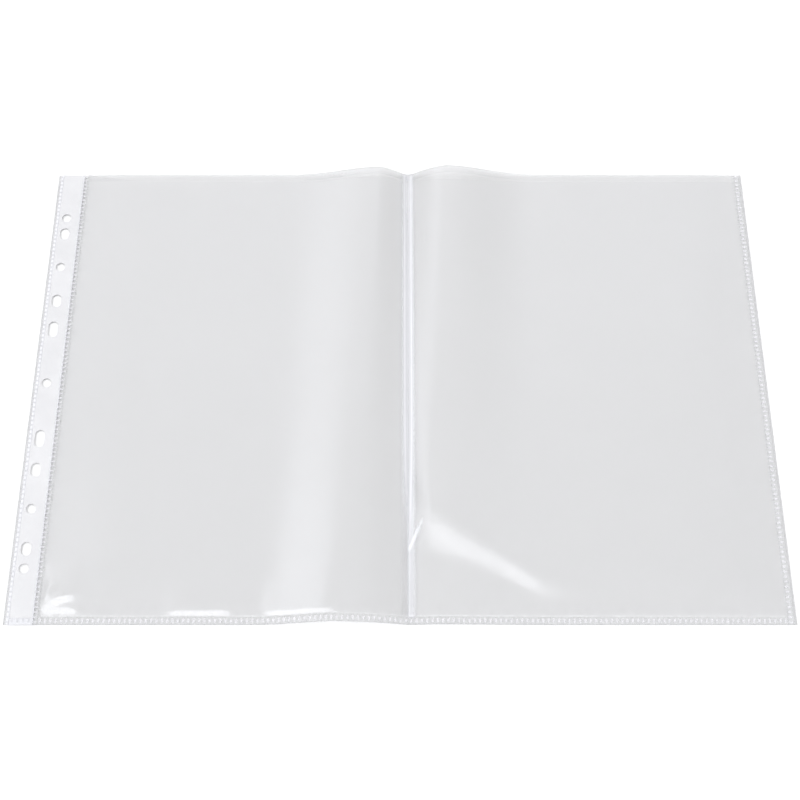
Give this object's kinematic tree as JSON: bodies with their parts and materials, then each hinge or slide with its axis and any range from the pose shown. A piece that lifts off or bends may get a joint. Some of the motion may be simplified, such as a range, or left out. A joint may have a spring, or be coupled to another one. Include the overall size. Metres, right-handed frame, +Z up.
{
  "type": "sheet protector",
  "caption": "Clear film pocket that opens out flat from a centre crease, with dotted welds, an open mouth and a white reinforced strip punched for ring binders.",
  "frame": {"origin": "on the table under the middle of the opened sheet", "axes": "+X to the right, away from the punched strip; +Y to the open mouth; +Z up"},
  "size_m": [0.45, 0.307, 0.0113],
  "materials": {
    "clear_film": "clear polypropylene film, glossy",
    "welded_film": "two films welded together, pressed with a row of bars",
    "white_tape": "milky white polypropylene tape under clear film"
  },
  "bodies": {
    "left_leaf": {"spine_seam": "welded_film", "left_back_film": "clear_film", "left_front_film": "clear_film", "left_foot_seam": "welded_film", "left_fold_back_film": "clear_film", "left_fold_front_film": "clear_film", "left_fold_seam": "welded_film"},
    "binding_edge": {"edge_seam": "welded_film", "reinforcement_tape": "white_tape", "strip_back_film": "clear_film", "strip_front_film": "clear_film", "strip_foot_seam": "welded_film"},
    "right_leaf": {"right_fold_back_film": "clear_film", "right_fold_front_film": "clear_film", "right_fold_seam": "welded_film", "right_back_film": "clear_film", "right_front_film": "clear_film", "right_foot_seam": "welded_film", "side_seam": "welded_film"}
  },
  "joints": [
    {"name": "binding_flex", "type": "hinge", "parent": "left_leaf", "child": "binding_edge", "pos_m": [-0.209, 0, 0.0008], "axis": [0, 1, 0], "range_deg": [0, 90]},
    {"name": "centre_fold", "type": "hinge", "parent": "left_leaf", "child": "right_leaf", "pos_m": [0.005, 0, 0.0008], "axis": [0, -1, 0], "range_deg": [0, 175], "deforming": ["left_fold_back_film", "left_fold_front_film", "left_fold_seam", "right_fold_back_film", "right_fold_front_film", "right_fold_seam"]}
  ]
}
